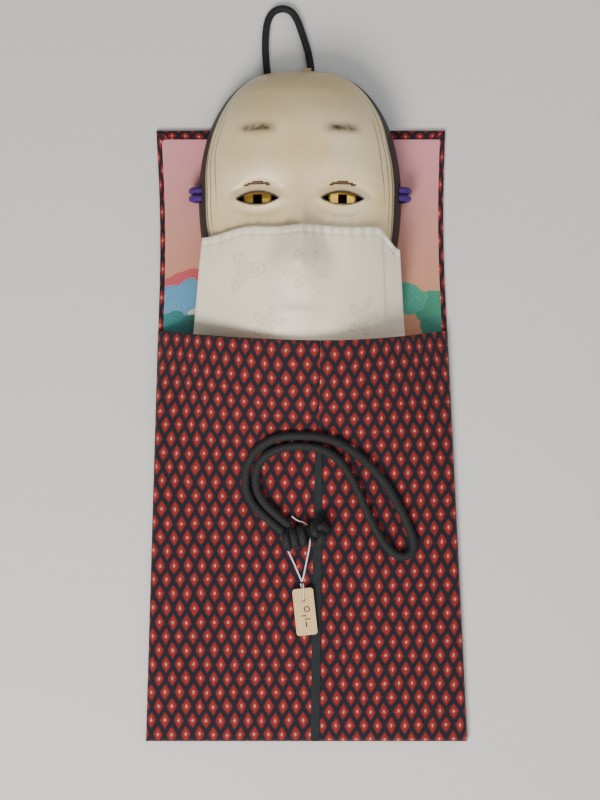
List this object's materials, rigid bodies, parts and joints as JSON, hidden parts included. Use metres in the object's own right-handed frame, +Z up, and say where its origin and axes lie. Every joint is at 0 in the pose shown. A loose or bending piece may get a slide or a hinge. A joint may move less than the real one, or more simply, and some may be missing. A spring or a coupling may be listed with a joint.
{
  "type": "noh mask in a storage bag",
  "caption": "Carved noh mask lying on the open flap of its padded bag, chin in the pocket, under a silk face cloth, with tie cord and tag.",
  "frame": {"origin": "centre of the footprint of bag and mask, on the surface that the bag lies on", "axes": "+Y from the bag's bottom to the mask's crown, +Z up out of the mask's face, +X to the right when looking down on the face"},
  "size_m": [0.221, 0.506, 0.0747],
  "materials": {
    "mask_wood": "polished white ground over carved cypress, aged to ochre",
    "gilt": "gilded, softly polished",
    "paper": "matt beige paper",
    "purple_cord": "braided silk",
    "cream_silk": "figured silk with a soft sheen",
    "wadding": "matt cotton",
    "bag_fabric": "woven, red figures on a navy ground",
    "lining_silk": "smooth dyed silk",
    "black_tape": "flat woven tape",
    "black_cord": "round braided cord",
    "white_string": "twisted cotton",
    "tag_wood": "planed and unfinished"
  },
  "bodies": {
    "bag": {"bag_back_outer": "bag_fabric", "bag_back_wadding": "wadding", "bag_back_lining": "lining_silk", "bag_front_outer_left": "bag_fabric", "bag_front_outer_right": "bag_fabric", "bag_front_wadding": "wadding", "bag_front_lining": "lining_silk", "centre_tape": "black_tape", "tie_cord": "black_cord", "tie_knot": "black_cord", "flap_loop": "black_cord"},
    "mask": {"mask_shell": "mask_wood", "eye_plate_left": "gilt", "eye_plate_right": "gilt", "crown_tab": "paper", "mask_cord_left": "purple_cord", "mask_cord_right": "purple_cord", "mask_cord_hank_left": "purple_cord", "mask_cord_hank_right": "purple_cord", "hank_band_left": "purple_cord", "hank_band_right": "purple_cord", "face_cloth_front": "cream_silk", "face_cloth_wadding": "wadding", "face_cloth_back": "cream_silk"},
    "tag_string": {"tag_string": "white_string"},
    "tag": {"tag_plate": "tag_wood", "tag_loop": "white_string"}
  },
  "joints": [
    {"name": "mask_pull", "type": "slide", "parent": "bag", "child": "mask", "axis": [0, 1, 0], "range_m": [0, 0.07]},
    {"name": "tag_swing", "type": "hinge", "parent": "bag", "child": "tag_string", "pos_m": [-0.00401, -0.08414, 0.01647], "axis": [0, -0.0509, 0.9987], "range_deg": [-12, 12]},
    {"name": "tag_flip", "type": "hinge", "parent": "tag_string", "child": "tag", "pos_m": [-0.0032, -0.12097, 0.01426], "axis": [-0.9945, -0.1044, -0.0053], "range_deg": [0, 75]}
  ]
}
